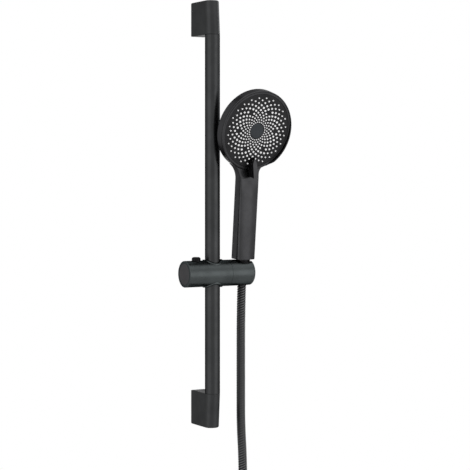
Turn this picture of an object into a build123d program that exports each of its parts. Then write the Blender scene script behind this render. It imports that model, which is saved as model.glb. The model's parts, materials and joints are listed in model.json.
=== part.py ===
from build123d import *
import math
import os

# Shower riser bar: a round bar on two wall posts, a slider with a release button,
# a tilting holder, and a hand shower with its hose.
# Frame: the wall is the plane Y = 0, the front is -Y, and the origin lies midway between the wall screws.
# All sizes are in millimetres and all angles in degrees.

# Clearances
RUNNING_FIT = 0.06
SEAT_FIT = 0.05
SLIDE_GAP = 0.15
PART_GAP = 0.3

# Rail and wall posts
RAIL_HEIGHT = 622.0
TUBE_D = 22.0
TUBE_WALL = 1.2
BAR_OUT = 45.0
POST_HEIGHT = 50.0
POST_LEAN = 3.5
POST_OUTER_EDGE = 2.0
POST_INNER_EDGE = 1.0
SPIGOT_D = 14.0
SPIGOT_IN_POST = 28.0
SPIGOT_IN_TUBE = 22.0
PLATE_W = 14.6
PLATE_H = 31.6
PLATE_T = 12.0
WALL_SCREW_D = 5.5
WALL_SCREW_HEAD_D = 10.5
WALL_SCREW_HEAD_T = 5.0
SET_SCREW_D = 4.0
SET_SCREW_OUT = 7.0

# Slider
SLIDER_Z = -86.5
SLIDER_D = 38.4
SLIDER_LEFT = -46.6
SEAM_X = 24.0
SLIDER_EDGE = 0.8
CAVITY_D = 31.0
CAVITY_END_X = -17.0
END_PLUG_T = 3.0
END_PLUG_SINK = 0.2

# Sleeve and liner round the bar
SLEEVE_D = 29.3
SLEEVE_PROUD = 1.2
LINER_D = 25.4
LINER_HALF = 15.2
LINER_SPLIT = 1.6
RIB_D = 27.0
RIB_LOW = 8.2
RIB_HIGH = 12.2

# Release button and brake
BUTTON_X = -27.0
BUTTON_D = 13.0
BUTTON_PROUD = 5.2
BUTTON_DOME = 3.0
BUTTON_FLUTES = 8
BUTTON_FLUTE_R = 1.6
BUTTON_FLUTE_OUT = 0.6
BUTTON_TRAVEL = 2.5
BUTTON_FOOT_GAP = 0.5
WEDGE_W = 6.0
WEDGE_TIP_Z = -3.0
WEDGE_BACK = 5.0
WEDGE_INSET = 0.8
SHOE_W = 10.0
SHOE_H = 12.0
SHOE_LEFT = -36.0
SPRING_T = 0.6
SPRING_W = 8.0
SPRING_H = 22.0

# Holder and its pivot
HOLDER_END_X = 63.0
HOLDER_EDGE = 3.5
BORE_X = 50.3
BORE_TAPER = 0.055
SLOT_W = 14.6
PIVOT_D = 4.9
PIVOT_HEAD_D = 9.0
PIVOT_HEAD_T = 2.6
PIVOT_HEAD_X = 33.6
PIVOT_END_X = 16.4
PIVOT_WASHER_T = 0.8
FRICTION_RING_D = 27.0
FRICTION_RING_BORE = 17.0
FRICTION_RING_T = 1.3

# Hand shower, in its own frame: Z along the handle, origin on the slider's axis
TILT = 5.7
HANDSET_TURN = 4.4
HANDLE_W = 32.0
HANDLE_LOW_D = 24.4
HANDLE_TOP_D = 16.5
HANDLE_LOW_EDGE = 8.0
HANDLE_TOP_EDGE = 2.0
HANDLE_GAP = 1.2
HANDLE_TOP = 136.0
HEAD_ABOVE_HANDLE = 14.1
FACE_OUT = 18.7
FACE_TILT = 12.2
HEAD_R = 60.0
HEAD_DEPTH = 26.0
HEAD_RIM = 13.5
HEAD_EDGE = 1.2
HEAD_SHOULDER = 3.0
HEAD_WALL = 1.6
NECK_R = 26.0
NECK_RUN = 16.0
NECK_BITE = 2.5
NECK_STEP = 1.0
CAVITY_DEPTH = 11.0
POST_R = 7.0

# Spray face, in the head's own frame: Z out of the face, origin at its centre
PLATE_THICK = 3.5
HUB_R = 9.0
HUB_DEPTH = 5.0
CAP_R = 11.4
CAP_DEPTH = 1.5
CAP_DOME = 1.0
FACE_SCREW_D = 3.5
FACE_SCREW_HEAD_D = 7.0
FACE_SCREW_HEAD_T = 1.8
FACE_SCREW_END = 10.0
NOZZLES_PER_RING = 24
NOZZLE_RINGS = 11
NOZZLE_FIRST_R = 13.45
NOZZLE_STEP = 3.64
NOZZLE_GAP_RING = 5
NOZZLE_GAP_EVERY = 4
NOZZLE_SMALL_R = 0.75
NOZZLE_LARGE_R = 1.35
NOZZLE_OUTER_R = 0.95
NOZZLE_PROUD = 1.2
NOZZLE_SIDES = 6
RING_WALL = 2.6
RING_PROUD = 0.5
RING_LIP = 2.4
FIN_W = 7.0
FIN_ABOVE = 20.8
FIN_BELOW = 7.1
FIN_NOSE = 8.0
FIN_NOSE_RISE = 7.1
FIN_RISE = 18.7
FIN_END_GAP = 4.6
DISC_T = 3.0
DISC_DEPTH = 6.0
PORT_COUNT = 3
PORT_D = 9.0
PORT_R = 30.0

# Inlet and hose nut
INLET_D = 20.8
INLET_BORE = 9.0
INLET_LOW = 6.5
INLET_IN_HANDLE = 15.0
INLET_STEM_D = 18.0
WASHER_T = 1.5
NUT_TOP = 17.0
NUT_LOW = -17.5
NUT_TOP_R = 12.2

# Hose: the route is a list of hand-chosen points, and the rest is wound into a coil
HOSE_D = 13.2
HOSE_ENTRY = 4.8
HOSE_BEND = -42.0
HOSE_SPLIT_Z = -262.0
COIL_R = 66.0
COIL_TURNS = 2.5
COIL_PITCH = 13.5
COIL_END_RISE = 52.0
TIE_T = 1.2
TIE_W = 9.0
END_NUT_FLATS = 24.0
END_NUT_LONG = 17.0
END_NUT_FLOOR = 3.0
THREAD_R = 9.3
FERRULE_R = 8.4
FERRULE_T = 2.2

RING_OUT_R = HEAD_R - HEAD_WALL - PART_GAP
RING_IN_R = RING_OUT_R - RING_WALL
PLATE_R = RING_IN_R - PART_GAP
FIN_TOP_R = HEAD_R - FIN_ABOVE
FIN_END_R = HEAD_R + FIN_BELOW
BASE = (Align.CENTER, Align.CENTER, Align.MIN)
TUBE_BORE_R = TUBE_D / 2 - TUBE_WALL
TUBE_TOP = RAIL_HEIGHT / 2 - POST_HEIGHT
SLIDER_R = SLIDER_D / 2
HANDLE_BOTTOM = SLIDER_R + HANDLE_GAP
FACE_Z = HANDLE_TOP + HEAD_ABOVE_HANDLE + HEAD_R
SLIDER_AT = Pos(0, -BAR_OUT, SLIDER_Z)
HANDSET_AT = Pos(BORE_X, -BAR_OUT, SLIDER_Z) * Rot(TILT, 0, 0)
HEAD_ON_HANDSET = Pos(0, -FACE_OUT, FACE_Z) * Rot(90 + FACE_TILT, 0, 0)
SHELL_AT = HANDSET_AT * Rot(0, 0, HANDSET_TURN)
HEAD_AT = SHELL_AT * HEAD_ON_HANDSET


def rod_z(radius, low, high):
    """Upright cylinder on the Z axis between two heights."""
    return Pos(0, 0, low) * Cylinder(radius, high - low, align=BASE)


def rod_x(radius, start, end):
    """Cylinder on the X axis between two places."""
    return Pos(start, 0, 0) * Rot(0, 90, 0) * Cylinder(radius, end - start, align=BASE)


def rod_y(radius, start, end):
    """Cylinder on the Y axis between two places."""
    return Pos(0, start, 0) * Rot(-90, 0, 0) * Cylinder(radius, end - start, align=BASE)


def ring_z(outer, inner, low, high):
    """Upright ring on the Z axis."""
    return rod_z(outer, low, high) - rod_z(inner, low - 1, high + 1)


def block(x0, x1, y0, y1, z0, z1):
    """Box between two corners."""
    low = (Align.MIN, Align.MIN, Align.MIN)
    return Pos(x0, y0, z0) * Box(x1 - x0, y1 - y0, z1 - z0, align=low)


def turned(*outline):
    """Solid of revolution about Z, from a closed outline of radius and height pairs."""
    return revolve(Plane.XZ * make_face(Polyline(*outline, close=True)), Axis.Z)


# Rail and wall posts


def post_blank():
    """Solid wall post: flat sides to the wall and a half-round front that leans back."""
    front_top = POST_LEAN - BAR_OUT
    side = Polyline((0, 0), (-BAR_OUT, 0), (front_top, POST_HEIGHT), (0, POST_HEIGHT), close=True)
    blank = extrude(Plane.YZ * make_face(side), TUBE_D / 2, both=True)
    lean = -math.degrees(math.atan2(POST_LEAN, POST_HEIGHT))
    front = Pos(0, -BAR_OUT, 0) * Rot(lean, 0, 0) * rod_z(TUBE_D / 2, -POST_HEIGHT, 2 * POST_HEIGHT)
    front &= block(-TUBE_D, TUBE_D, -2 * BAR_OUT, 0, 0, POST_HEIGHT)
    return blank + front


def wall_post():
    """Wall post with its inner end at Z = 0, a socket for the bar's spigot and a pocket for the wall plate."""
    post = post_blank()
    ends = post.faces().sort_by(Axis.Z)
    post = fillet(ends[-1].edges(), POST_OUTER_EDGE)
    post = fillet(post.faces().sort_by(Axis.Z)[0].edges(), POST_INNER_EDGE)
    post -= Pos(0, -BAR_OUT, 0) * rod_z(SPIGOT_D / 2 + SEAT_FIT, -1, SPIGOT_IN_POST + PART_GAP)
    half_w = PLATE_W / 2 + SLIDE_GAP
    half_h = PLATE_H / 2 + SLIDE_GAP
    middle = POST_HEIGHT / 2
    post -= block(-half_w, half_w, -PLATE_T - 1, 1, middle - half_h, middle + half_h)
    post -= Pos(0, -SET_SCREW_OUT, middle) * rod_x(SET_SCREW_D / 2 + SEAT_FIT, 0, TUBE_D)
    return post


def wall_plate():
    """Block that is screwed to the wall, with a recess for the screw's head."""
    middle = POST_HEIGHT / 2
    plate = block(-PLATE_W / 2, PLATE_W / 2, -PLATE_T, 0, middle - PLATE_H / 2, middle + PLATE_H / 2)
    plate = fillet(plate.edges().filter_by(Axis.Y), 2.5)
    plate -= Pos(0, 0, middle) * rod_y(WALL_SCREW_D / 2, -PLATE_T - 1, 1)
    head_floor = WALL_SCREW_HEAD_T - PLATE_T
    plate -= Pos(0, 0, middle) * rod_y(WALL_SCREW_HEAD_D / 2, -PLATE_T - 1, head_floor)
    return plate


def tube_spigot():
    """Stepped plug that joins the bar to a post."""
    plug = rod_z(SPIGOT_D / 2, 0, SPIGOT_IN_POST)
    plug += rod_z(TUBE_BORE_R - SEAT_FIT, -SPIGOT_IN_TUBE, 0)
    return chamfer(plug.faces().sort_by(Axis.Z)[-1].edges(), 1)


def set_screw():
    """Headless screw that locks a post on its wall plate from the right-hand side."""
    start = PLATE_W / 2 + SEAT_FIT
    screw = rod_x(SET_SCREW_D / 2, start, TUBE_D / 2 - PART_GAP)
    return Pos(0, -SET_SCREW_OUT, POST_HEIGHT / 2) * screw


def at_both_ends(piece):
    """A piece at the rail's upper end and its mirror image at the lower end."""
    upper = Pos(0, 0, TUBE_TOP) * piece
    return upper, mirror(upper, about=Plane.XY)


def riser_tube():
    """The round bar, hollow, between the two posts."""
    return Pos(0, -BAR_OUT, 0) * ring_z(TUBE_D / 2, TUBE_BORE_R, -TUBE_TOP, TUBE_TOP)


# Slider, in its own frame: X along its axis, origin on the bar's axis


def shoe_window(gap):
    """Space that the brake shoe slides in, with a gap on each side."""
    half_w = SHOE_W / 2 + gap
    half_h = SHOE_H / 2 + gap
    return block(CAVITY_END_X - 2, 0, -half_w, half_w, -half_h, half_h)


def slider_body():
    """Horizontal cylinder with a hole for the bar's sleeve and a cavity for the brake."""
    body = rod_x(SLIDER_R, SLIDER_LEFT, SEAM_X)
    body = fillet(body.faces().sort_by(Axis.X)[0].edges(), SLIDER_EDGE)
    body -= rod_z(SLEEVE_D / 2 + SEAT_FIT, -SLIDER_D, SLIDER_D)
    body -= rod_x(CAVITY_D / 2, SLIDER_LEFT - 1, CAVITY_END_X)
    body -= shoe_window(SLIDE_GAP)
    body -= Pos(BUTTON_X, 0, 0) * rod_z(BUTTON_D / 2 + SLIDE_GAP, 0, SLIDER_D)
    body -= rod_x(PIVOT_D / 2 + SEAT_FIT, 0, SEAM_X + 1)
    ring_floor = SEAM_X + PART_GAP - SEAT_FIT - FRICTION_RING_T
    recess = rod_x(FRICTION_RING_D / 2 + SEAT_FIT, ring_floor, SEAM_X + 1)
    recess -= rod_x(FRICTION_RING_BORE / 2 - SEAT_FIT, ring_floor, SEAM_X + 1)
    return body - recess


def slider_end_plug():
    """Disc that closes the slider's left end."""
    face = SLIDER_LEFT + END_PLUG_SINK
    return rod_x(CAVITY_D / 2 - SEAT_FIT, face, face + END_PLUG_T)


def slider_sleeve():
    """Collar round the bar, its ends cut to stand just proud of the slider's round surface."""
    sleeve = rod_z(SLEEVE_D / 2, -SLIDER_D, SLIDER_D)
    sleeve &= rod_x(SLIDER_R + SLEEVE_PROUD, -SLIDER_D, SLIDER_D)
    sleeve -= rod_z(LINER_D / 2 + RUNNING_FIT, -SLIDER_D, SLIDER_D)
    sleeve -= rod_z(RIB_D / 2 + PART_GAP, RIB_LOW - PART_GAP, RIB_HIGH + PART_GAP)
    return sleeve - shoe_window(PART_GAP)


def grip_liner():
    """Split liner that grips the bar, with a rib that carries the slider."""
    liner = rod_z(LINER_D / 2, -LINER_HALF, LINER_HALF)
    liner += rod_z(RIB_D / 2, RIB_LOW, RIB_HIGH)
    liner -= rod_z(TUBE_D / 2 + RUNNING_FIT, -LINER_HALF - 1, LINER_HALF + 1)
    return liner - block(-LINER_SPLIT / 2, LINER_SPLIT / 2, 0, RIB_D, -LINER_HALF - 1, LINER_HALF + 1)


def wedge_line(height, gap):
    """X of the sloping face between button and shoe at a height, moved left by a gap."""
    tip = BUTTON_X + BUTTON_D / 2 - WEDGE_BACK + WEDGE_TIP_Z
    return tip - height - gap * math.sqrt(2)


def release_button():
    """Round fluted push button with a wedge that draws the shoe back."""
    top = SLIDER_R + BUTTON_PROUD
    foot = SHOE_H / 2 + BUTTON_TRAVEL + BUTTON_FOOT_GAP
    button = Pos(BUTTON_X, 0, 0) * rod_z(BUTTON_D / 2, foot, top)
    button = fillet(button.faces().sort_by(Axis.Z)[-1].edges(), BUTTON_DOME)
    for place in PolarLocations(BUTTON_D / 2 + BUTTON_FLUTE_OUT, BUTTON_FLUTES):
        button -= Pos(BUTTON_X, 0, 0) * place * rod_z(BUTTON_FLUTE_R, SLIDER_R, top + 1)
    left = BUTTON_X - BUTTON_D / 2 + WEDGE_INSET
    right = BUTTON_X + BUTTON_D / 2 - WEDGE_BACK / 2
    wedge = Polyline(
        (left, foot),
        (left, wedge_line(left, 0)),
        (wedge_line(WEDGE_TIP_Z, 0), WEDGE_TIP_Z),
        (right, WEDGE_TIP_Z),
        (right, foot),
        close=True,
    )
    return button + extrude(Plane.XZ * make_face(wedge), WEDGE_W / 2, both=True)


def brake_shoe():
    """Block that presses on the liner, with a slot for the button's wedge."""
    half_w = SHOE_W / 2
    half_h = SHOE_H / 2
    shoe = block(SHOE_LEFT, 0, -half_w, half_w, -half_h, half_h)
    shoe -= rod_z(LINER_D / 2 + PART_GAP, -SHOE_H, SHOE_H)
    right = BUTTON_X + BUTTON_D / 2 - WEDGE_BACK / 2 + BUTTON_TRAVEL + PART_GAP
    slot = Polyline(
        (wedge_line(SHOE_H, PART_GAP), SHOE_H),
        (wedge_line(-SHOE_H, PART_GAP), -SHOE_H),
        (right, -SHOE_H),
        (right, SHOE_H),
        close=True,
    )
    return shoe - extrude(Plane.XZ * make_face(slot), WEDGE_W / 2 + PART_GAP, both=True)


def brake_spring():
    """Bowed leaf spring between the end plug and the shoe."""
    ends = SLIDER_LEFT + END_PLUG_SINK + END_PLUG_T + SEAT_FIT
    crown = SHOE_LEFT - SEAT_FIT
    half = SPRING_H / 2
    outline = [
        ThreePointArc((ends, -half), (crown - SPRING_T, 0), (ends, half)),
        Line((ends, half), (ends + SPRING_T, half)),
        ThreePointArc((ends + SPRING_T, half), (crown, 0), (ends + SPRING_T, -half)),
        Line((ends + SPRING_T, -half), (ends, -half)),
    ]
    return extrude(Plane.XZ * make_face(outline), SPRING_W / 2, both=True)


def friction_ring():
    """Ring in the seam that gives the holder its drag."""
    outer_face = SEAM_X + PART_GAP - SEAT_FIT
    ring = rod_x(FRICTION_RING_D / 2, outer_face - FRICTION_RING_T, outer_face)
    return ring - rod_x(FRICTION_RING_BORE / 2, SEAM_X - SLIDER_D, SEAM_X + SLIDER_D)


def pivot_screw():
    """Screw that the holder turns on."""
    head = rod_x(PIVOT_HEAD_D / 2, PIVOT_HEAD_X, PIVOT_HEAD_X + PIVOT_HEAD_T)
    return head + rod_x(PIVOT_D / 2, PIVOT_END_X, PIVOT_HEAD_X)


def pivot_washer():
    """Washer under the pivot screw's head."""
    washer = rod_x(PIVOT_HEAD_D / 2, PIVOT_HEAD_X - PIVOT_WASHER_T, PIVOT_HEAD_X)
    return washer - rod_x(PIVOT_D / 2 + SEAT_FIT, 0, SLIDER_D)


# Holder and hose nut, in the hand shower's frame


def nut_radius(height):
    """Radius of the tapered nut at a height on the hand shower's axis."""
    return NUT_TOP_R - BORE_TAPER * (NUT_TOP - height)


def handset_holder():
    """Right-hand end of the slider's cylinder, with a tapered seat and a slot for the hose."""
    left = SEAM_X + PART_GAP - BORE_X
    right = HOLDER_END_X - BORE_X
    holder = rod_x(SLIDER_R, left, right)
    holder = fillet(holder.faces().sort_by(Axis.X)[-1].edges(), HOLDER_EDGE)
    reach = SLIDER_R + 1
    holder -= turned(
        (0, reach),
        (nut_radius(reach) + SLIDE_GAP, reach),
        (nut_radius(-reach) + SLIDE_GAP, -reach),
        (0, -reach),
    )
    holder -= block(0, right + 1, -SLOT_W / 2, SLOT_W / 2, -reach, reach)
    shoulder = PIVOT_HEAD_X - PIVOT_WASHER_T - SEAT_FIT - BORE_X
    holder -= rod_x(PIVOT_D / 2 + RUNNING_FIT, left - 1, 0)
    return holder - rod_x(PIVOT_HEAD_D / 2 + PART_GAP, shoulder, 0)


def hose_cone_nut():
    """Tapered nut that screws on the inlet and sits in the holder."""
    seat = INLET_LOW - WASHER_T
    thread_r = INLET_D / 2 + SEAT_FIT
    hose_r = HOSE_D / 2 + SLIDE_GAP
    return turned(
        (thread_r, NUT_TOP),
        (NUT_TOP_R, NUT_TOP),
        (nut_radius(NUT_LOW), NUT_LOW),
        (hose_r, NUT_LOW),
        (hose_r, seat),
        (thread_r, seat),
    )


def inlet_spigot():
    """Threaded inlet of the hand shower."""
    spigot = rod_z(INLET_D / 2, INLET_LOW, HANDLE_BOTTOM)
    spigot += rod_z(INLET_STEM_D / 2, HANDLE_BOTTOM, HANDLE_BOTTOM + INLET_IN_HANDLE)
    return spigot - rod_z(INLET_BORE / 2, INLET_LOW - 1, HANDLE_BOTTOM + INLET_IN_HANDLE + 1)


def inlet_washer():
    """Flat seal between the inlet and the nut."""
    return ring_z(INLET_D / 2 - SLIDE_GAP, INLET_BORE / 2, INLET_LOW - WASHER_T, INLET_LOW)


# Hand shower


def grip():
    """Straight part of the handle: deep and round at the bottom, flat and crisp at the top."""
    low = Pos(0, 0, HANDLE_BOTTOM) * RectangleRounded(HANDLE_W, HANDLE_LOW_D, HANDLE_LOW_EDGE)
    high = Pos(0, 0, HANDLE_TOP) * RectangleRounded(HANDLE_W, HANDLE_TOP_D, HANDLE_TOP_EDGE)
    return loft([low, high])


def neck_outline():
    """Front view of the neck, its sides flaring into the head's rim."""
    side = HANDLE_W / 2
    rim = HEAD_R - NECK_BITE
    drop = math.sqrt((rim + NECK_R) ** 2 - (side + NECK_R) ** 2)
    share = rim / (rim + NECK_R)
    flare_z = FACE_Z - drop
    join = (share * (side + NECK_R), FACE_Z - share * drop)
    middle = math.atan2(join[1] - flare_z, join[0] - side - NECK_R)
    bend = (math.pi + middle) / 2
    bend_point = (side + NECK_R + NECK_R * math.cos(bend), flare_z + NECK_R * math.sin(bend))
    mirrored = [(-x, z) for x, z in (join, bend_point, (side, flare_z))]
    outline = [
        Line((-side, HANDLE_TOP), (side, HANDLE_TOP)),
        Line((side, HANDLE_TOP), (side, flare_z)),
        ThreePointArc((side, flare_z), bend_point, join),
        Line(join, mirrored[0]),
        ThreePointArc(mirrored[0], mirrored[1], mirrored[2]),
        Line(mirrored[2], (-side, HANDLE_TOP)),
    ]
    return make_face(outline)


def neck_profile():
    """Side view of the neck, its front running back to the head's rim."""
    half = HANDLE_TOP_D / 2
    rim_low = HEAD_ON_HANDSET * Pos(0, NECK_BITE - HEAD_R, -HEAD_EDGE - NECK_STEP)
    rim_point = (rim_low.position.Y, rim_low.position.Z)
    front_z = rim_point[1] - NECK_RUN
    back_z = FACE_Z - HEAD_R
    back_end = (half - HEAD_EDGE, FACE_Z - HEAD_R / 2)
    top_front = (rim_point[0], back_end[1])
    outline = [
        Line((-half, HANDLE_TOP), (half, HANDLE_TOP)),
        Line((half, HANDLE_TOP), (half, back_z)),
        Line((half, back_z), back_end),
        Line(back_end, top_front),
        Line(top_front, rim_point),
        Spline(rim_point, (-half, front_z), tangents=((0, -1), (0, -1))),
        Line((-half, front_z), (-half, HANDLE_TOP)),
    ]
    return make_face(outline)


def neck():
    """Part of the handle that runs up into the head."""
    depth = HEAD_R + HANDLE_W
    bar = extrude(Plane.XZ * neck_outline(), depth, both=True)
    bar &= extrude(Plane.YZ * neck_profile(), depth, both=True)
    return fillet(bar.edges().filter_by(Axis.Z), HANDLE_TOP_EDGE)


def head_dome():
    """Round head: flat front, straight rim and a domed back."""
    crown = HEAD_DEPTH - HEAD_RIM
    dome_r = (HEAD_R**2 + crown**2) / (2 * crown)
    halfway = (HEAD_R / 2, dome_r - HEAD_DEPTH - math.sqrt(dome_r**2 - HEAD_R**2 / 4))
    outline = [
        ThreePointArc((0, -HEAD_DEPTH), halfway, (HEAD_R, -HEAD_RIM)),
        Line((HEAD_R, -HEAD_RIM), (HEAD_R, -HEAD_EDGE)),
        Line((HEAD_R, -HEAD_EDGE), (HEAD_R - HEAD_EDGE, 0)),
        Line((HEAD_R - HEAD_EDGE, 0), (0, 0)),
        Line((0, 0), (0, -HEAD_DEPTH)),
    ]
    section = make_face(outline)
    shoulder = section.vertices().sort_by_distance((HEAD_R, -HEAD_RIM))[0]
    return revolve(Plane.XZ * fillet(shoulder, HEAD_SHOULDER), Axis.Z)


def handset_shell():
    """Handle and head in one moulding, with a socket for the inlet and a chamber behind the face."""
    shell = grip() + neck() + HEAD_ON_HANDSET * head_dome()
    chamber = rod_z(HEAD_R - HEAD_WALL, -CAVITY_DEPTH, 1)
    chamber -= rod_z(POST_R, -CAVITY_DEPTH, -HUB_DEPTH)
    shell -= HEAD_ON_HANDSET * chamber
    shell -= HEAD_ON_HANDSET * rod_z(FACE_SCREW_D / 2 + SEAT_FIT, -FACE_SCREW_END - 1, 0)
    socket_top = HANDLE_BOTTOM + INLET_IN_HANDLE + PART_GAP
    return shell - rod_z(INLET_STEM_D / 2 + SEAT_FIT, HANDLE_BOTTOM - 1, socket_top)


# Spray face


def nozzle_radius(ring):
    """Nozzles grow from the middle to the seventh ring and are small again at the edge."""
    peak = 6
    if ring <= peak:
        return NOZZLE_SMALL_R + (NOZZLE_LARGE_R - NOZZLE_SMALL_R) * ring / peak
    return NOZZLE_LARGE_R + (NOZZLE_OUTER_R - NOZZLE_LARGE_R) * (ring - peak) / (NOZZLE_RINGS - 1 - peak)


def nozzle_places():
    """Place and radius of each nozzle: staggered rings, with gaps in the middle ring."""
    places = []
    step = 360 / NOZZLES_PER_RING
    for ring in range(NOZZLE_RINGS):
        radius = NOZZLE_FIRST_R + ring * NOZZLE_STEP
        for slot in range(NOZZLES_PER_RING):
            if ring == NOZZLE_GAP_RING and slot % NOZZLE_GAP_EVERY == 0:
                continue
            angle = math.radians(step * (slot + 0.5 * ((ring + 1) % 2)))
            places.append((radius * math.cos(angle), radius * math.sin(angle), nozzle_radius(ring)))
    return places


def spray_plate():
    """Spray plate with its soft nozzles moulded on, and a hub for the face screw."""
    plate = rod_z(PLATE_R, -PLATE_THICK, 0) + rod_z(HUB_R, -HUB_DEPTH, 0)
    plate -= rod_z(CAP_R + SEAT_FIT, -CAP_DEPTH - SEAT_FIT, 1)
    plate -= rod_z(FACE_SCREW_HEAD_D / 2 + PART_GAP, -CAP_DEPTH - FACE_SCREW_HEAD_T - PART_GAP, 0)
    plate -= rod_z(FACE_SCREW_D / 2 + PART_GAP, -HUB_DEPTH - 1, 0)
    tips = Sketch() + [Pos(x, y) * RegularPolygon(r, NOZZLE_SIDES) for x, y, r in nozzle_places()]
    return plate + extrude(tips, NOZZLE_PROUD)


def centre_cap():
    """Shallow domed cap over the face screw."""
    cap = rod_z(CAP_R, -CAP_DEPTH, CAP_DOME)
    return fillet(cap.faces().sort_by(Axis.Z)[-1].edges(), CAP_DOME * 0.9)


def face_screw():
    """Screw that holds the spray plate on the shell's post."""
    head_low = -CAP_DEPTH - FACE_SCREW_HEAD_T - PART_GAP
    head = rod_z(FACE_SCREW_HEAD_D / 2, head_low, head_low + FACE_SCREW_HEAD_T)
    return head + rod_z(FACE_SCREW_D / 2, -FACE_SCREW_END, head_low)


def selector_fin():
    """Thumb lever at the face's lower edge: pointed at the top and rising towards its lower end."""
    half = FIN_W / 2
    plan = Polyline(
        (0, -FIN_TOP_R),
        (half, -FIN_TOP_R - FIN_NOSE),
        (half, -FIN_END_R),
        (-half, -FIN_END_R),
        (-half, -FIN_TOP_R - FIN_NOSE),
        close=True,
    )
    fin = extrude(make_face(plan), FIN_RISE, both=True)
    under = NOZZLE_PROUD + PART_GAP
    side = Polyline(
        (-FIN_TOP_R, under),
        (-RING_OUT_R, under),
        (-FIN_END_R, FIN_END_GAP),
        (-FIN_END_R, FIN_RISE),
        (-FIN_TOP_R, FIN_NOSE_RISE),
        close=True,
    )
    return fin & extrude(Plane.YZ * make_face(side), FIN_W, both=True)


def spray_selector():
    """Ring round the spray plate with its thumb fin, and a lip that carries the valve disc."""
    lip_high = -DISC_DEPTH - DISC_T - SEAT_FIT
    ring = ring_z(RING_OUT_R, RING_IN_R, lip_high - 1, RING_PROUD)
    ring += ring_z(RING_OUT_R, RING_IN_R - RING_LIP, lip_high - 1, lip_high)
    foot = ring_z(RING_OUT_R, RING_IN_R, 0, NOZZLE_PROUD + RING_PROUD)
    foot &= block(-FIN_W / 2, FIN_W / 2, -HEAD_R, 0, 0, FIN_RISE)
    return ring + foot + selector_fin()


def valve_disc():
    """Disc that turns with the selector and opens one set of nozzles at a time."""
    disc = ring_z(RING_IN_R - SEAT_FIT, POST_R + PART_GAP, -DISC_DEPTH - DISC_T, -DISC_DEPTH)
    for port in PolarLocations(PORT_R, PORT_COUNT):
        disc -= port * rod_z(PORT_D / 2, -DISC_DEPTH - DISC_T - 1, 0)
    return disc


# Hose

HOSE_R = HOSE_D / 2


def on_handset_axis(height):
    """Point on the hand shower's axis."""
    return (HANDSET_AT * Pos(0, 0, height)).position


HANG = on_handset_axis(HOSE_BEND)
HOSE_TOP_ROUTE = [
    on_handset_axis(HOSE_ENTRY),
    HANG,
    Vector(HANG.X, HANG.Y, HOSE_SPLIT_Z),
]
HOSE_RUN_ROUTE = [
    HOSE_TOP_ROUTE[-1],
    HANG + Vector(0, 0, -182),
    HANG + Vector(3, 0, -230),
    HANG + Vector(3.5, 0, -278),
    HANG + Vector(-1, 0, -322),
    HANG + Vector(-8, 0, -364),
    HANG + Vector(-12, 0, -402),
    HANG + Vector(-12, 0, -432),
]
COIL_START = HOSE_RUN_ROUTE[-1]
COIL_CENTRE = COIL_START + Vector(COIL_R, 0, 0)
COIL_DEPTH = COIL_TURNS * COIL_PITCH
COIL_END = COIL_START + Vector(2 * COIL_R, -COIL_DEPTH, 0)
COIL_AT = Pos(COIL_CENTRE.X, COIL_CENTRE.Y, COIL_CENTRE.Z)
HOSE_END_AT = Pos(COIL_END.X, COIL_END.Y, COIL_END.Z + COIL_END_RISE)


def corner_radii(route):
    """Bend radius at each inner point of a route: as large as its two runs allow."""
    radii = []
    for before, here, after in zip(route, route[1:], route[2:]):
        arriving = here - before
        leaving = after - here
        turn = math.radians(arriving.get_angle(leaving))
        radii.append(0.45 * min(arriving.length, leaving.length) / math.tan(turn / 2))
    return radii


def hose_length(route):
    """Length of a route with its bends."""
    return FilletPolyline(*route, radius=corner_radii(route)).length


def hose_tube(route):
    """Plain round hose along a route."""
    path = FilletPolyline(*route, radius=corner_radii(route))
    section = Plane(path @ 0, z_dir=path % 0) * Circle(HOSE_R)
    return sweep(section, path)


def hose_coil():
    """Outer shape of the wound length: a ring in an upright plane."""
    front = -COIL_DEPTH - HOSE_R
    ring = rod_y(COIL_R + HOSE_R, front, HOSE_R) - rod_y(COIL_R - HOSE_R, front - 1, HOSE_R + 1)
    return COIL_AT * ring


def coil_tie(angle):
    """Band round the coil's turns at an angle from the right-hand side."""
    front = -COIL_DEPTH - HOSE_R - PART_GAP
    back = HOSE_R + PART_GAP
    reach = HOSE_R + PART_GAP
    half = TIE_W / 2
    band = block(-reach - TIE_T, reach + TIE_T, front - TIE_T, back + TIE_T, -half, half)
    band -= block(-reach, reach, front, back, -half - 1, half + 1)
    return COIL_AT * Rot(0, -angle, 0) * Pos(COIL_R, 0, 0) * band


def hose_tail():
    """Last straight length of hose, up to the end nut."""
    return Pos(COIL_END.X, COIL_END.Y, COIL_END.Z) * rod_z(HOSE_R, 0, COIL_END_RISE + END_NUT_FLOOR)


def hose_end_ferrule():
    """Flange on the hose's end, which holds the nut."""
    low = END_NUT_FLOOR + PART_GAP
    flange = ring_z(FERRULE_R, INLET_BORE / 2, low, low + FERRULE_T)
    return HOSE_END_AT * (flange + ring_z(HOSE_R, INLET_BORE / 2, END_NUT_FLOOR, low))


def hose_end_nut():
    """Hexagonal nut that turns on the hose's end."""
    nut = extrude(RegularPolygon(END_NUT_FLATS / 2, 6, major_radius=False), END_NUT_LONG)
    seat = END_NUT_FLOOR + FERRULE_T + 2 * PART_GAP
    nut -= rod_z(THREAD_R, seat, END_NUT_LONG + 1)
    nut -= rod_z(FERRULE_R + PART_GAP, END_NUT_FLOOR, END_NUT_LONG)
    nut -= rod_z(HOSE_R + PART_GAP, -1, END_NUT_FLOOR + 1)
    return HOSE_END_AT * nut


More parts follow.
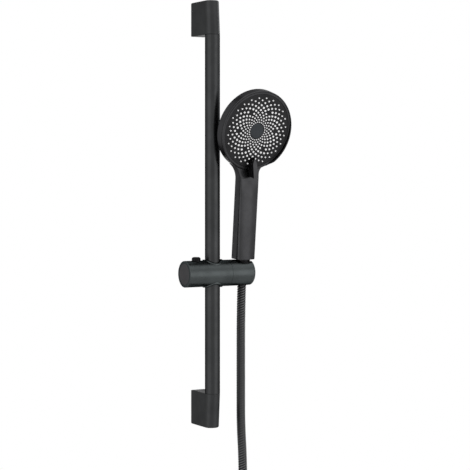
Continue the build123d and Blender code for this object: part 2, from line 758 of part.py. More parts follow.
def main():
    os.makedirs("parts", exist_ok=True)
    upper_post, lower_post = at_both_ends(wall_post())
    upper_plate, lower_plate = at_both_ends(wall_plate())
    upper_spigot, lower_spigot = at_both_ends(Pos(0, -BAR_OUT, 0) * tube_spigot())
    nodes = {
        "riser_tube": riser_tube(),
        "upper_bracket": upper_post,
        "lower_bracket": lower_post,
        "upper_wall_plate": upper_plate,
        "lower_wall_plate": lower_plate,
        "upper_tube_spigot": upper_spigot,
        "lower_tube_spigot": lower_spigot,
        "bracket_set_screws": Compound(children=list(at_both_ends(set_screw()))),
        "grip_liner": SLIDER_AT * grip_liner(),
        "slider_body": SLIDER_AT * slider_body(),
        "slider_sleeve": SLIDER_AT * slider_sleeve(),
        "slider_end_plug": SLIDER_AT * slider_end_plug(),
        "release_button": SLIDER_AT * release_button(),
        "brake_shoe": SLIDER_AT * brake_shoe(),
        "brake_spring": SLIDER_AT * brake_spring(),
        "friction_ring": SLIDER_AT * friction_ring(),
        "pivot_screw": SLIDER_AT * pivot_screw(),
        "pivot_washer": SLIDER_AT * pivot_washer(),
        "handset_holder": HANDSET_AT * handset_holder(),
        "hose_cone_nut": HANDSET_AT * hose_cone_nut(),
        "inlet_spigot": HANDSET_AT * inlet_spigot(),
        "inlet_washer": HANDSET_AT * inlet_washer(),
        "handset_shell": SHELL_AT * handset_shell(),
        "spray_plate": HEAD_AT * spray_plate(),
        "centre_cap": HEAD_AT * centre_cap(),
        "face_screw": HEAD_AT * face_screw(),
        "spray_selector": HEAD_AT * spray_selector(),
        "valve_disc": HEAD_AT * valve_disc(),
        "hose_top": hose_tube(HOSE_TOP_ROUTE),
        "hose_run": hose_tube(HOSE_RUN_ROUTE),
        "hose_coil": hose_coil(),
        "coil_ties": Compound(children=[coil_tie(angle) for angle in (90, 215)]),
        "hose_tail": hose_tail(),
        "hose_end_ferrule": hose_end_ferrule(),
        "hose_end_nut": hose_end_nut(),
    }
    for name, shape in nodes.items():
        export_step(shape, f"parts/{name}.step")
    for name, route in (("hose_top", HOSE_TOP_ROUTE), ("hose_run", HOSE_RUN_ROUTE)):
        radii = ", ".join(f"{radius:.0f}" for radius in corner_radii(route))
        share = nodes[name].volume / (math.pi * HOSE_R**2 * hose_length(route))
        print(f"{name}: bend radii {radii} mm, volume / section x length {share:.4f}")
    wound = COIL_TURNS * math.hypot(2 * math.pi * COIL_R, COIL_PITCH)
    total = hose_length(HOSE_TOP_ROUTE) + hose_length(HOSE_RUN_ROUTE) + wound + COIL_END_RISE + END_NUT_FLOOR
    print(f"hose length {total:.0f} mm, of which wound {wound:.0f} mm")


main()
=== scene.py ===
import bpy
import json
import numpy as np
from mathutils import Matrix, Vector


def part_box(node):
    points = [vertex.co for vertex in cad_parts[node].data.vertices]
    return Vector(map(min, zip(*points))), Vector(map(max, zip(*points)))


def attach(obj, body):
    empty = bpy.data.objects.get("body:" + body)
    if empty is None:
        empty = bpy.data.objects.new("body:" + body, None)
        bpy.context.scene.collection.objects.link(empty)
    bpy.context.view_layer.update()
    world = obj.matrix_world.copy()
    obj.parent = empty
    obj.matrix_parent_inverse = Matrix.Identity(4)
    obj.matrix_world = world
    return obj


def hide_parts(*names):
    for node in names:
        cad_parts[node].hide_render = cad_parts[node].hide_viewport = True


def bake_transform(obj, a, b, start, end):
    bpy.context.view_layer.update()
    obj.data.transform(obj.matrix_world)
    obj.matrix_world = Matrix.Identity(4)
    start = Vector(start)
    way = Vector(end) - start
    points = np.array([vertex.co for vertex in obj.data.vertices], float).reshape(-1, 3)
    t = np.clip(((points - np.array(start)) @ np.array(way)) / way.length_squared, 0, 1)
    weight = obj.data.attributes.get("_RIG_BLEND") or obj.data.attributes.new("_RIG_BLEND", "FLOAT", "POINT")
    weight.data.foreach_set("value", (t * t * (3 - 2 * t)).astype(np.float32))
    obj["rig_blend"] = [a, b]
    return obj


bl_info = {
    "name": "Shower riser bar",
    "version": (1, 0, 0),
    "blender": (4, 5, 0),
    "location": "View3D > Sidebar > Riser bar",
    "description": "Dresses a shower riser bar with its finishes, hose and nozzles",
    "category": "Object",
}

import json
import math

import bmesh
import bpy
from bpy.props import FloatProperty, FloatVectorProperty, IntProperty, PointerProperty
from mathutils import Matrix, Vector

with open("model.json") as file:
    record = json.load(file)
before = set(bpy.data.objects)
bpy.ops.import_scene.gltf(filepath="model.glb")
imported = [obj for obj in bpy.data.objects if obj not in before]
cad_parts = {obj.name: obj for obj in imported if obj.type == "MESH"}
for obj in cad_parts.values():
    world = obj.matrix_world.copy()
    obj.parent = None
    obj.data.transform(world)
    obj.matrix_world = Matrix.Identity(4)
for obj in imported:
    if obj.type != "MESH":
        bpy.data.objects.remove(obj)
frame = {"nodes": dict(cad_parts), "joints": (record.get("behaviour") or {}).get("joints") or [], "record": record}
NODES = frame["nodes"]
JOINTS = {joint["name"]: joint for joint in frame["joints"]}
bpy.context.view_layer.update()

# Size and horizon of the photograph in pixels, and the place and turn of its camera
FRAME_PX = 470
FOCAL_PX = 1519
HORIZON_PX = 175
SENSOR_MM = 36.0
CAMERA_AT = (-1.0779, -1.9777, 0.0567)
CAMERA_TURN = -30.0

# Where the handle's own frame starts, and how far the handle leans forward and is turned, in degrees
HANDLE_AT = (0.0503, -0.045, -0.0865)
HANDLE_LEAN = 5.7
HANDLE_TURN = 4.4

# The hose's route from the hand shower down to the coil, in metres
HOSE_ROUTE = [
    (0.0503, -0.04548, -0.08172),
    (0.0503, -0.04083, -0.12829),
    (0.0503, -0.04083, -0.26200),
    (0.0503, -0.04083, -0.31029),
    (0.0533, -0.04083, -0.35829),
    (0.0538, -0.04083, -0.40629),
    (0.0493, -0.04083, -0.45029),
    (0.0423, -0.04083, -0.49229),
    (0.0383, -0.04083, -0.53029),
]
COIL_LEFT = (0.0383, -0.04083, -0.56029)
COIL_POINTS_PER_TURN = 16
TAIL_BEND = 0.6

# Points between two control points of the hose's line
LINE_STEPS = 24

# Where the hose leaves the cone nut, and the route's point down to which it follows the holder
HOSE_EXIT_Y = -0.0433
HOSE_SPLIT = 2

# Rows of one rib of the hose: height as a share of the groove's depth, and strength of the painted highlight, a
# glint painted onto one flank of each rib
RIB_LIFT = (0.0, 0.5, 0.87, 1.0, 0.87, 0.5)
RIB_PAINTED_GLINT = (0.3, 1.0, 0.2, 0.0, 0.0, 0.0)

# The ring with the largest nozzles, and the ring in which every fourth place is left out
PEAK_RING = 6
GAP_RING = 5
GAP_EVERY = 4

# Outline of one nozzle, as shares of its radius and its height
NOZZLE_OUTLINE = ((1.0, 0.0), (1.0, 0.87), (0.80, 0.96), (0.34, 1.0), (0.24, 0.9))
NOZZLE_SIDES = 8

# Section of the head's lip: radius in metres, and height in metres below the face or as a share above it
LIP_SECTION = (
    (0.0600, -0.0012),
    (0.0600, 0.3),
    (0.0598, 0.7),
    (0.0594, 1.0),
    (0.0588, 1.0),
    (0.0584, 0.7),
    (0.0583, 0.2),
    (0.0583, -0.0006),
)
LIP_LEAST = 0.0001
LIP_STEPS = 120

# Rows and columns of the handle's domed front, and how deep its rim goes into the handle
CROWN_ROWS = 32
CROWN_COLUMNS = 16
CROWN_SINK = 0.001
CROWN_SHARP = 40.0

# How the finishes vary: scales of their drift of colour and of their gloss, and how far the gloss varies
DRIFT_SCALE = 38
GLOSS_SCALE = 120
DULLER = 0.07
BRIGHTER = 0.05

# Radius of softened edges in metres, and the edge tint of the hose away from its painted highlights
SOFT_EDGE = 0.0004
HOSE_DARK_EDGE = 0.05

# What the lamps point at, and the floor's middle and facets
LAMP_AIM = (0.03, -0.05, -0.05)
FLOOR_Y = -0.05
FLOOR_SIDES = 96


class HoseSizes(bpy.types.PropertyGroup):
    """Sizes of the ribbed metal hose"""

    diameter: FloatProperty(
        name="Diameter", description="Outside of the ribs",
        default=0.0132, unit="LENGTH")
    groove: FloatProperty(
        name="Groove depth", description="Depth between two ribs",
        default=0.0009, unit="LENGTH")
    pitch: FloatProperty(
        name="Rib pitch", description="Distance from rib to rib",
        default=0.00364, unit="LENGTH")
    sides: IntProperty(
        name="Sides", description="Facets round the hose",
        default=24, min=12)
    coil_radius: FloatProperty(
        name="Coil radius", description="Middle of the coil's turns",
        default=0.066, unit="LENGTH")
    coil_turns: FloatProperty(
        name="Coil turns", description="Turns in the coil",
        default=2.5)
    coil_pitch: FloatProperty(
        name="Coil pitch", description="Distance from turn to turn",
        default=0.0135, unit="LENGTH")
    tail: FloatProperty(
        name="Tail", description="Straight end up to the nut",
        default=0.055, unit="LENGTH")


class SpraySizes(bpy.types.PropertyGroup):
    """Sizes of the nozzles and of the lip round the spray face"""

    per_ring: IntProperty(
        name="Nozzles per ring", description="Nozzles in one ring",
        default=24)
    rings: IntProperty(
        name="Rings", description="Rings of nozzles",
        default=11)
    first: FloatProperty(
        name="First ring", description="Radius of the inmost ring",
        default=0.01345, unit="LENGTH")
    step: FloatProperty(
        name="Ring step", description="Distance from ring to ring",
        default=0.00364, unit="LENGTH")
    small: FloatProperty(
        name="Inner nozzle", description="Radius of the inmost nozzles",
        default=0.00090, unit="LENGTH")
    large: FloatProperty(
        name="Middle nozzle", description="Radius of the largest nozzles",
        default=0.00158, unit="LENGTH")
    outer: FloatProperty(
        name="Outer nozzle", description="Radius of the outmost nozzles",
        default=0.00105, unit="LENGTH")
    proud: FloatProperty(
        name="Height", description="Height of a nozzle over the face",
        default=0.00142, unit="LENGTH")
    lip_low: FloatProperty(
        name="Lip at the bottom", description="Height of the head's lip low down",
        default=0.0052, unit="LENGTH")
    lip_sink: FloatProperty(
        name="Lip at the top", description="How far the lip sinks into the shell at its top",
        default=0.0005, unit="LENGTH")
    lip_gap: FloatProperty(
        name="Lip opening", description="Half of the lip's opening at the bottom",
        default=math.radians(27), subtype="ANGLE")
    lip_fade: FloatProperty(
        name="Lip run-out", description="Angle over which the lip runs out at its ends",
        default=math.radians(14), subtype="ANGLE")


class CrownSizes(bpy.types.PropertyGroup):
    """Sizes of the handle's slightly domed front"""

    low: FloatProperty(
        name="Lower end", description="Height where the domed front starts",
        default=0.0205, unit="LENGTH")
    top: FloatProperty(
        name="Upper end", description="Height where the domed front ends",
        default=0.136, unit="LENGTH")
    half_width: FloatProperty(
        name="Half width", description="Half of the handle's width",
        default=0.016, unit="LENGTH")
    low_depth: FloatProperty(
        name="Lower depth", description="Depth of the handle at its lower end",
        default=0.0244, unit="LENGTH")
    top_depth: FloatProperty(
        name="Upper depth", description="Depth of the handle at its upper end",
        default=0.0165, unit="LENGTH")
    low_edge: FloatProperty(
        name="Lower rounding", description="Rounding of the handle's edges low down",
        default=0.008, unit="LENGTH")
    top_edge: FloatProperty(
        name="Upper rounding", description="Rounding of the handle's edges at the top",
        default=0.002, unit="LENGTH")
    slope: FloatProperty(
        name="Edge slope", description="Slope of the domed front at its sides",
        default=math.radians(21), subtype="ANGLE")
    fade: FloatProperty(
        name="Run-out", description="Share of the height over which the dome runs out at the top",
        default=0.15, subtype="FACTOR")


class FinishColours(bpy.types.PropertyGroup):
    """Colours of the finishes"""

    coat: FloatVectorProperty(
        name="Bar", description="Matte coat of bar and posts",
        default=(0.0405, 0.0415, 0.0425), subtype="COLOR")
    slider: FloatVectorProperty(
        name="Slider", description="Satin coat of the slider",
        default=(0.060, 0.067, 0.068), subtype="COLOR")
    shell: FloatVectorProperty(
        name="Hand shower", description="Moulded shell",
        default=(0.044, 0.044, 0.046), subtype="COLOR")
    face: FloatVectorProperty(
        name="Spray plate", description="Plate between the nozzles",
        default=(0.026, 0.026, 0.027), subtype="COLOR")
    nozzle: FloatVectorProperty(
        name="Nozzles", description="Soft nozzles",
        default=(0.93, 0.93, 0.93), subtype="COLOR")
    cap: FloatVectorProperty(
        name="Centre cap", description="Satin cap",
        default=(0.042, 0.046, 0.050), subtype="COLOR")
    hose: FloatVectorProperty(
        name="Hose", description="Dark plated ribs",
        default=(0.011, 0.011, 0.0114), subtype="COLOR")
    # Colour of the highlight painted onto one flank of each rib of the hose
    seam: FloatVectorProperty(
        name="Hose painted glint", description="Painted highlight on each rib",
        default=(0.16, 0.16, 0.165), subtype="COLOR")
    plug: FloatVectorProperty(
        name="End plug", description="Slider's flat end",
        default=(0.062, 0.061, 0.063), subtype="COLOR")
    steel: FloatVectorProperty(
        name="Steel", description="Screws and spring",
        default=(0.52, 0.53, 0.54), subtype="COLOR")
    # Gloss black is the button's own colour; on the cone nut and the inlet spigot its darkness is also painted
    # shade for the gap under the handle
    gloss: FloatVectorProperty(
        name="Gloss black", description="Button and nut",
        default=(0.012, 0.012, 0.0125), subtype="COLOR")
    inner: FloatVectorProperty(
        name="Inner plastic", description="Plastic inside",
        default=(0.06, 0.06, 0.062), subtype="COLOR")
    floor: FloatVectorProperty(
        name="Floor", description="Pale floor",
        default=(0.82, 0.82, 0.82), subtype="COLOR")


class StageSizes(bpy.types.PropertyGroup):
    """Floor and light of the stage"""

    floor_z: FloatProperty(
        name="Floor", description="Height of the floor",
        default=-0.83, unit="LENGTH")
    floor_radius: FloatProperty(
        name="Floor radius", description="Size of the floor",
        default=1.9, unit="LENGTH")
    sky: FloatProperty(
        name="Sky", description="Light from all round",
        default=0.75)


def shader(name):
    """A new node material: its node tree, its Principled node and Object coordinates."""
    material = bpy.data.materials.new(name)
    material.use_nodes = True
    tree = material.node_tree
    surface = tree.nodes["Principled BSDF"]
    place = tree.nodes.new("ShaderNodeTexCoord").outputs["Object"]
    return material, tree, surface, place


def noise(tree, place, scale, detail=3.0):
    """A noise texture on a place."""
    node = tree.nodes.new("ShaderNodeTexNoise")
    node.inputs["Scale"].default_value = scale
    node.inputs["Detail"].default_value = detail
    tree.links.new(place, node.inputs["Vector"])
    return node.outputs["Fac"]


def ramp(tree, factor, low, high, start=0.3, end=0.7):
    """Two colours or greys over a factor."""
    node = tree.nodes.new("ShaderNodeValToRGB")
    node.color_ramp.elements[0].position = start
    node.color_ramp.elements[1].position = end
    node.color_ramp.elements[0].color = (*low, 1)
    node.color_ramp.elements[1].color = (*high, 1)
    tree.links.new(factor, node.inputs["Fac"])
    return node.outputs["Color"]


def bump(tree, surface, height, depth, strength=0.5):
    """Fine relief on a surface, over edges that look slightly rounded."""
    soft = tree.nodes.new("ShaderNodeBevel")
    soft.samples = 4
    soft.inputs["Radius"].default_value = SOFT_EDGE
    node = tree.nodes.new("ShaderNodeBump")
    tree.links.new(soft.outputs["Normal"], node.inputs["Normal"])
    node.inputs["Distance"].default_value = depth
    node.inputs["Strength"].default_value = strength
    tree.links.new(height, node.inputs["Height"])
    tree.links.new(node.outputs["Normal"], surface.inputs["Normal"])


def coat(name, colour, rough, grain, depth=0.00003, spread=0.12, metal=1.0, edge=1.0):
    """A coat with fine grain, a slow drift of colour, an uneven gloss and an edge tint."""
    material, tree, surface, place = shader(name)
    low = [channel * (1 - spread) for channel in colour]
    high = [channel * (1 + spread) for channel in colour]
    drift = ramp(tree, noise(tree, place, DRIFT_SCALE), low, high)
    tree.links.new(drift, surface.inputs["Base Color"])
    bright = [rough - BRIGHTER] * 3
    dull = [rough + DULLER] * 3
    gloss = ramp(tree, noise(tree, place, GLOSS_SCALE, 5), bright, dull)
    tree.links.new(gloss, surface.inputs["Roughness"])
    bump(tree, surface, noise(tree, place, grain, 2), depth)
    surface.inputs["Metallic"].default_value = metal
    surface.inputs["Specular Tint"].default_value = (edge, edge, edge, 1)
    return material


def hose_coat_with_painted_glint(dark, bright):
    """Dark plating of the hose, with a highlight painted along one flank of each rib, where its edge tint also
    rises to white.
    """
    material = coat("dark_plated_hose", dark, rough=0.20, grain=1400, depth=0.00002, spread=0.15)
    tree = material.node_tree
    surface = tree.nodes["Principled BSDF"]
    plating = surface.inputs["Base Color"].links[0].from_socket
    # Painted highlight: a lighter colour and a higher edge tint on the marked rows of each rib
    seam = tree.nodes.new("ShaderNodeAttribute")
    seam.attribute_name = "seam"
    colour = tree.nodes.new("ShaderNodeMix")
    edge = tree.nodes.new("ShaderNodeMix")
    for mix in (colour, edge):
        mix.data_type = "RGBA"
        tree.links.new(seam.outputs["Fac"], mix.inputs["Factor"])
    tree.links.new(plating, colour.inputs["A"])
    colour.inputs["B"].default_value = (*bright, 1)
    edge.inputs["A"].default_value = (HOSE_DARK_EDGE, HOSE_DARK_EDGE, HOSE_DARK_EDGE, 1)
    edge.inputs["B"].default_value = (1, 1, 1, 1)
    tree.links.new(colour.outputs["Result"], surface.inputs["Base Color"])
    tree.links.new(edge.outputs["Result"], surface.inputs["Specular Tint"])
    return material


def build_finishes(colours):
    """All the materials of the riser bar, by the name of their finish."""
    return {
        "coat": coat("matte_black_coat", colours.coat, rough=0.31, grain=2600, edge=0.22),
        "post": coat("matte_black_post", colours.coat, rough=0.31, grain=2600, edge=0.47),
        "slider": coat("satin_slider_coat", colours.slider, rough=0.32, grain=2200, edge=0.25),
        "shell": coat("satin_black_shell", colours.shell, rough=0.31, grain=1700, edge=0.45),
        "face": coat("spray_plate_black", colours.face, rough=0.40, grain=1500, spread=0.15, edge=0.45),
        "nozzle": coat("soft_white_nozzle", colours.nozzle, rough=0.55, grain=900, spread=0.04, metal=0.0),
        "cap": coat("satin_grey_cap", colours.cap, rough=0.28, grain=1300, spread=0.08, edge=0.6),
        # The hose's finish carries a painted highlight on one flank of each rib
        "hose": hose_coat_with_painted_glint(colours.hose, colours.seam),
        "plug": coat("satin_end_plug", colours.plug, rough=0.33, grain=2000, edge=0.5),
        # Gloss black: the button's own finish, and painted shade on the cone nut and the inlet spigot under the
        # handle
        "gloss": coat(
            "gloss_black_and_painted_shade", colours.gloss, rough=0.18, grain=1800, depth=0.00002, spread=0.1, edge=0.35),
        "steel": coat("brushed_steel", colours.steel, rough=0.32, grain=900, spread=0.1),
        "inner": coat(
            "inner_plastic", colours.inner, rough=0.5, grain=1500, depth=0.00004, spread=0.2, metal=0.0),
    }


FINISH_OF_SLOT = {
    "black_metal": "coat",
    "slider_black": "slider",
    "black_plastic": "shell",
    "inner_plastic": "inner",
    "steel": "steel",
    "satin_cap": "cap",
    "brass": "coat",
    "rubber": "inner",
    "hose_metal": "hose",
}
FINISH_OF_NODE = {
    "upper_bracket": "post",
    "lower_bracket": "post",
    "spray_plate": "face",
    "slider_end_plug": "plug",
    "release_button": "gloss",
    # The cone nut and the inlet spigot take the darker gloss black as painted shade for the gap under the handle
    "hose_cone_nut": "gloss",
    "inlet_spigot": "gloss",
}


def finish(name):
    """A finish that was made before, by its short name."""
    return bpy.data.materials[bpy.context.scene["finishes"][name]]


def paint(piece, name):
    """Gives a piece one finish."""
    piece.data.materials.clear()
    piece.data.materials.append(finish(name))


def new_piece(name, shape, smooth=True):
    """A mesh object from a bmesh, at the origin."""
    mesh = bpy.data.meshes.new(name)
    shape.to_mesh(mesh)
    shape.free()
    if smooth:
        mesh.shade_smooth()
    piece = bpy.data.objects.new(name, mesh)
    bpy.context.scene.collection.objects.link(piece)
    return piece


def head_frame():
    """The spray face's own frame: Z out of the face, Y up, origin at its centre."""
    joint = JOINTS["selector_turn"]
    out = Vector(joint["axis"]).normalized()
    lean = math.radians(HANDLE_LEAN)
    handle = Vector((0, -math.sin(lean), math.cos(lean)))
    across = handle.cross(out).normalized()
    up = out.cross(across)
    turn = Matrix((across, up, out)).transposed().to_4x4()
    return Matrix.Translation(joint["pos_m"]) @ turn


class RISER_OT_finishes(bpy.types.Operator):
    """Makes the finishes and gives one to each solid"""

    bl_idname = "riser.finishes"
    bl_label = "Finishes"

    def execute(self, context):
        made = build_finishes(context.scene.riser_colours)
        context.scene["finishes"] = {name: material.name for name, material in made.items()}
        for part in frame["record"]["subparts"]:
            name = part["node"]
            paint(NODES[name], FINISH_OF_NODE.get(name, FINISH_OF_SLOT[part["material_slot"]]))
        return {"FINISHED"}


def hose_points(sizes):
    """Control points of the hose: the route, the coil's turns and the tail."""
    centre = Vector(COIL_LEFT) + Vector((sizes.coil_radius, 0, 0))
    points = [Vector(point) for point in HOSE_ROUTE]
    step = 2 * math.pi / COIL_POINTS_PER_TURN
    reach = sizes.coil_radius / math.cos(step / 2)
    for index in range(round(COIL_POINTS_PER_TURN * sizes.coil_turns)):
        angle = step * (index + 0.5)
        drop = Vector((-math.cos(angle) * reach, 0, -math.sin(angle) * reach))
        points.append(centre + drop - Vector((0, sizes.coil_pitch * angle / (2 * math.pi), 0)))
    end = centre + Vector((sizes.coil_radius, -sizes.coil_turns * sizes.coil_pitch, sizes.tail))
    points.append(end - Vector((0, 0, sizes.tail * TAIL_BEND)))
    points.append(end)
    return points


def smooth_line(points):
    """Points along the smooth line of a route, read from its spline."""
    curve = bpy.data.curves.new("hose_line", "CURVE")
    curve.dimensions = "3D"
    curve.resolution_u = LINE_STEPS
    spline = curve.splines.new("NURBS")
    spline.points.add(len(points) - 1)
    for place, point in zip(spline.points, points):
        place.co = (*point, 1)
    spline.order_u = 3
    spline.use_endpoint_u = True
    holder = bpy.data.objects.new("hose_line", curve)
    bpy.context.scene.collection.objects.link(holder)
    bpy.context.view_layer.update()
    mesh = bpy.data.meshes.new_from_object(holder)
    line = [vertex.co.copy() for vertex in mesh.vertices]
    bpy.data.objects.remove(holder)
    bpy.data.meshes.remove(mesh)
    return line


def even_line(line, step):
    """The same line with points at even distances."""
    even = [line[0].copy()]
    left = step
    for start, end in zip(line, line[1:]):
        span = (end - start).length
        done = 0.0
        while span - done >= left:
            done += left
            even.append(start.lerp(end, done / span))
            left = step
        left -= span - done
    return even


def rib_ring(shape, sizes, index, centre, side, other):
    """One ring of the hose's wall, with the height and the painted highlight of its ribs' rows."""
    seam = shape.verts.layers.float["seam"]
    ring = []
    for corner in range(sizes.sides):
        angle = 2 * math.pi * corner / sizes.sides
        row = (index - corner) % len(RIB_LIFT)
        radius = sizes.diameter / 2 - sizes.groove * (1 - RIB_LIFT[row])
        out = side * math.cos(angle) + other * math.sin(angle)
        vert = shape.verts.new(centre + out * radius)
        # Strength of the painted highlight on this row of the rib
        vert[seam] = RIB_PAINTED_GLINT[row]
        ring.append(vert)
    return ring


def ribbed_wall(sizes, line):
    """The hose's wall along a line, with ribs that wind round it."""
    shape = bmesh.new()
    shape.verts.layers.float.new("seam")
    tangents = [(b - a).normalized() for a, b in zip(line, line[1:])]
    tangents.append(tangents[-1].copy())
    side = tangents[0].orthogonal().normalized()
    rings = []
    for index, (centre, tangent) in enumerate(zip(line, tangents)):
        side = (side - tangent * side.dot(tangent)).normalized()
        rings.append(rib_ring(shape, sizes, index, centre, side, tangent.cross(side)))
    for upper, lower in zip(rings, rings[1:]):
        for corner in range(sizes.sides):
            after = (corner + 1) % sizes.sides
            shape.faces.new((upper[corner], upper[after], lower[after]))
            shape.faces.new((upper[corner], lower[after], lower[corner]))
    bmesh.ops.recalc_face_normals(shape, faces=shape.faces)
    return shape


class RISER_OT_hose(bpy.types.Operator):
    """Makes the ribbed hose along its route"""

    bl_idname = "riser.hose"
    bl_label = "Hose"

    def execute(self, context):
        sizes = context.scene.riser_hose
        line = even_line(smooth_line(hose_points(sizes)), sizes.pitch / len(RIB_LIFT))
        hose = new_piece("ribbed_hose", ribbed_wall(sizes, line))
        hose.data.materials.append(finish("hose"))
        exit_point = (HOSE_ROUTE[0][0], HOSE_EXIT_Y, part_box("hose_cone_nut")[0].z)
        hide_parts("hose_top", "hose_run", "hose_coil", "hose_tail")
        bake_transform(hose, "holder", "slider", start=exit_point, end=HOSE_ROUTE[HOSE_SPLIT])
        return {"FINISHED"}


def nozzle_radius(sizes, ring):
    """Nozzles grow from the middle to the peak ring and are small again at the edge."""
    if ring <= PEAK_RING:
        return sizes.small + (sizes.large - sizes.small) * ring / PEAK_RING
    return sizes.large + (sizes.outer - sizes.large) * (ring - PEAK_RING) / (sizes.rings - 1 - PEAK_RING)


def nozzle_tip(radius, proud):
    """Mesh of one soft nozzle with a rounded tip and a small outlet."""
    tip = bmesh.new()
    points = [tip.verts.new((across * radius, 0, height * proud)) for across, height in NOZZLE_OUTLINE]
    edges = [tip.edges.new(pair) for pair in zip(points, points[1:])]
    bmesh.ops.spin(
        tip, geom=points + edges, cent=(0, 0, 0), axis=(0, 0, 1), angle=2 * math.pi, steps=NOZZLE_SIDES,
        use_merge=True)
    bmesh.ops.holes_fill(tip, edges=[edge for edge in tip.edges if edge.is_boundary], sides=NOZZLE_SIDES)
    bmesh.ops.recalc_face_normals(tip, faces=tip.faces)
    mesh = bpy.data.meshes.new("nozzle_tip")
    tip.to_mesh(mesh)
    tip.free()
    return mesh


class RISER_OT_nozzles(bpy.types.Operator):
    """Makes the soft nozzles of the spray face"""

    bl_idname = "riser.nozzles"
    bl_label = "Nozzles"

    def execute(self, context):
        sizes = context.scene.riser_spray
        face = head_frame()
        shape = bmesh.new()
        for ring in range(sizes.rings):
            radius = sizes.first + ring * sizes.step
            tip = nozzle_tip(nozzle_radius(sizes, ring), sizes.proud)
            for place in range(sizes.per_ring):
                if ring == GAP_RING and place % GAP_EVERY == 0:
                    continue
                angle = 2 * math.pi * (place + 0.5 * ((ring + 1) % 2)) / sizes.per_ring
                turn = Matrix.Rotation(angle, 4, "Z") @ Matrix.Translation((radius, 0, 0))
                placed = tip.copy()
                placed.transform(face @ turn)
                shape.from_mesh(placed)
                bpy.data.meshes.remove(placed)
            bpy.data.meshes.remove(tip)
        nozzles = new_piece("spray_nozzles", shape, smooth=False)
        nozzles.data.materials.append(finish("nozzle"))
        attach(nozzles, "holder")
        return {"FINISHED"}


class RISER_OT_rim(bpy.types.Operator):
    """Makes the lip round the face, lowest at the top and open where the lever swings"""

    bl_idname = "riser.rim"
    bl_label = "Rim"

    def execute(self, context):
        sizes = context.scene.riser_spray
        place = head_frame()
        front = math.atan2(-place[1][0], -place[1][1])
        shape = bmesh.new()
        section = [shape.verts.new((across, 0, height)) for across, height in LIP_SECTION]
        face = shape.faces.new(section)
        start = Matrix.Rotation(sizes.lip_gap - math.pi / 2, 3, "Z")
        bmesh.ops.rotate(shape, verts=section, cent=(0, 0, 0), matrix=start)
        bmesh.ops.spin(
            shape, geom=[face], cent=(0, 0, 0), axis=(0, 0, 1), angle=2 * (math.pi - sizes.lip_gap),
            steps=LIP_STEPS, use_merge=False)
        for vert in shape.verts:
            angle = math.atan2(vert.co.x, vert.co.y)
            rise = (1 - math.cos(angle - front)) / 2
            if vert.co.z > 0:
                height = sizes.lip_low * rise
                fade = min(1.0, (math.pi - sizes.lip_gap - abs(angle)) / sizes.lip_fade)
                vert.co.z *= LIP_LEAST + (height - LIP_LEAST) * fade * fade * (3 - 2 * fade)
            vert.co.z -= sizes.lip_sink * (1 - rise)
        bmesh.ops.recalc_face_normals(shape, faces=shape.faces)
        shape.transform(place)
        lip = new_piece("face_lip", shape)
        lip.data.materials.append(finish("shell"))
        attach(lip, "holder")
        return {"FINISHED"}


def crown_point(sizes, across, share):
    """Point of the handle's domed front, at a share of its half width and of its height."""
    edge = sizes.low_edge + (sizes.top_edge - sizes.low_edge) * share
    depth = sizes.low_depth + (sizes.top_depth - sizes.low_depth) * share
    slope = sizes.slope * min(1.0, (1 - share) / sizes.fade)
    reach = sizes.half_width - edge + edge * math.sin(slope)
    front = depth / 2 - edge * (1 - math.cos(slope))
    rise = math.tan(slope) * reach / 2 * (1 - across * across)
    height = sizes.low + (sizes.top - sizes.low) * share
    return Vector((across * reach, -front - rise, height))


class RISER_OT_crown(bpy.types.Operator):
    """Makes the slightly domed front of the handle"""

    bl_idname = "riser.crown"
    bl_label = "Handle front"

    def execute(self, context):
        sizes = context.scene.riser_crown
        shape = bmesh.new()
        bmesh.ops.create_grid(shape, x_segments=CROWN_COLUMNS, y_segments=CROWN_ROWS, size=1.0)
        rim = [edge for edge in shape.edges if edge.is_boundary]
        sides = [edge for edge in rim if edge.verts[0].co.x == edge.verts[1].co.x]
        for vert in shape.verts:
            vert.co = crown_point(sizes, vert.co.x, (vert.co.y + 1) / 2)
        made = bmesh.ops.extrude_edge_only(shape, edges=sides)["geom"]
        back = {item for item in made if isinstance(item, bmesh.types.BMVert)}
        bmesh.ops.translate(shape, verts=list(back), vec=(0, CROWN_SINK, 0))
        bmesh.ops.bridge_loops(shape, edges=[edge for edge in shape.edges if back.issuperset(edge.verts)])
        bmesh.ops.holes_fill(shape, edges=[edge for edge in shape.edges if edge.is_boundary], sides=0)
        bmesh.ops.recalc_face_normals(shape, faces=shape.faces)
        lean = Matrix.Rotation(math.radians(HANDLE_LEAN), 4, "X")
        turn = Matrix.Rotation(math.radians(HANDLE_TURN), 4, "Z")
        shape.transform(Matrix.Translation(HANDLE_AT) @ lean @ turn)
        crown = new_piece("handle_front", shape)
        crown.data.set_sharp_from_angle(angle=math.radians(CROWN_SHARP))
        crown.data.materials.append(finish("shell"))
        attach(crown, "holder")
        return {"FINISHED"}


def soft_lamp(name, turn, rise, distance, width, height, glow):
    """A soft box round the slider, at a turn from the front, with the brightness of its face."""
    turn = math.radians(turn)
    rise = math.radians(rise)
    way = Vector((math.sin(turn) * math.cos(rise), -math.cos(turn) * math.cos(rise), math.sin(rise)))
    lamp = bpy.data.lights.new(name, "AREA")
    lamp.shape = "RECTANGLE"
    lamp.size = width
    lamp.size_y = height
    lamp.energy = glow * math.pi * width * height
    holder = bpy.data.objects.new(name, lamp)
    holder.location = Vector(LAMP_AIM) + way * distance
    holder.rotation_euler = (-way).to_track_quat("-Z", "Y").to_euler()
    holder.visible_camera = False
    bpy.context.scene.collection.objects.link(holder)


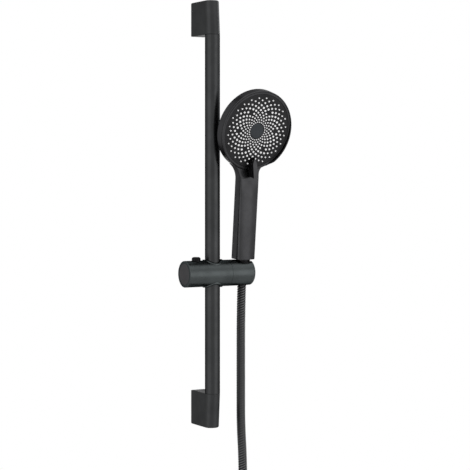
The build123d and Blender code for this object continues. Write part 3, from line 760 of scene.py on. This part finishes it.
def white_world(strength):
    """A white surround that the camera and reflections see in full, and that lights more softly."""
    world = bpy.data.worlds.new("white_surround")
    bpy.context.scene.world = world
    world.use_nodes = True
    tree = world.node_tree
    light = tree.nodes["Background"]
    light.inputs["Color"].default_value = (1, 1, 1, 1)
    path = tree.nodes.new("ShaderNodeLightPath")
    seen = path.outputs["Is Camera Ray"]
    for ray in ("Is Glossy Ray", "Is Transmission Ray"):
        most = tree.nodes.new("ShaderNodeMath")
        most.operation = "MAXIMUM"
        tree.links.new(seen, most.inputs[0])
        tree.links.new(path.outputs[ray], most.inputs[1])
        seen = most.outputs[0]
    level = tree.nodes.new("ShaderNodeMapRange")
    level.inputs["To Min"].default_value = strength
    level.inputs["To Max"].default_value = 1.0
    tree.links.new(seen, level.inputs["Value"])
    tree.links.new(level.outputs["Result"], light.inputs["Strength"])


class RISER_OT_stage(bpy.types.Operator):
    """Makes the floor, the light and the camera"""

    bl_idname = "riser.stage"
    bl_label = "Stage"

    def execute(self, context):
        sizes = context.scene.riser_stage
        shape = bmesh.new()
        bmesh.ops.create_circle(
            shape, cap_ends=True, segments=FLOOR_SIDES, radius=sizes.floor_radius,
            matrix=Matrix.Translation((0, FLOOR_Y, sizes.floor_z)))
        floor = new_piece("pale_floor", shape, smooth=False)
        pale = context.scene.riser_colours.floor
        floor.data.materials.append(
            coat("pale_floor", pale, rough=0.6, grain=60, depth=0.0002, spread=0.02, metal=0.0))
        white_world(sizes.sky)
        soft_lamp("right_box", turn=27, rise=0, distance=2.0, width=1.7, height=1.3, glow=0.9)
        soft_lamp("left_box", turn=-80, rise=0, distance=2.0, width=1.8, height=2.2, glow=0.6)
        soft_lamp("top_box", turn=28, rise=60, distance=1.8, width=1.2, height=1.2, glow=0.6)
        soft_lamp("rim_box", turn=100, rise=27, distance=1.5, width=0.5, height=1.2, glow=6.0)
        camera = bpy.data.cameras.new("photo_camera")
        camera.sensor_width = SENSOR_MM
        camera.lens = FOCAL_PX / FRAME_PX * SENSOR_MM
        camera.shift_y = (HORIZON_PX - FRAME_PX / 2) / FRAME_PX
        eye = bpy.data.objects.new("photo_camera", camera)
        eye.location = CAMERA_AT
        eye.rotation_euler = (math.radians(90), 0, math.radians(CAMERA_TURN))
        context.scene.collection.objects.link(eye)
        context.scene.camera = eye
        context.scene.view_settings.view_transform = "Standard"
        return {"FINISHED"}


class RISER_PT_panel(bpy.types.Panel):
    """Lists the steps that dress the riser bar"""

    bl_idname = "RISER_PT_panel"
    bl_label = "Riser bar"
    bl_space_type = "VIEW_3D"
    bl_region_type = "UI"
    bl_category = "Riser bar"

    def draw(self, context):
        for operator in OPERATORS:
            self.layout.operator(operator.bl_idname)


GROUPS = {
    "riser_hose": HoseSizes,
    "riser_spray": SpraySizes,
    "riser_crown": CrownSizes,
    "riser_colours": FinishColours,
    "riser_stage": StageSizes,
}
OPERATORS = (
    RISER_OT_finishes,
    RISER_OT_stage,
    RISER_OT_hose,
    RISER_OT_nozzles,
    RISER_OT_rim,
    RISER_OT_crown,
)


def register():
    """Registers the sizes, the steps and the panel."""
    for group in GROUPS.values():
        bpy.utils.register_class(group)
    for name, group in GROUPS.items():
        setattr(bpy.types.Scene, name, PointerProperty(type=group))
    for operator in OPERATORS:
        bpy.utils.register_class(operator)
    bpy.utils.register_class(RISER_PT_panel)


def unregister():
    """Takes the panel, the steps and the sizes out again."""
    bpy.utils.unregister_class(RISER_PT_panel)
    for operator in reversed(OPERATORS):
        bpy.utils.unregister_class(operator)
    for name in GROUPS:
        delattr(bpy.types.Scene, name)
    for group in reversed(list(GROUPS.values())):
        bpy.utils.unregister_class(group)


def main():
    """Dresses the riser bar."""
    register()
    bpy.ops.riser.finishes()
    bpy.ops.riser.stage()
    bpy.ops.riser.hose()
    bpy.ops.riser.nozzles()
    bpy.ops.riser.rim()
    bpy.ops.riser.crown()


if __name__ == "__main__":
    main()
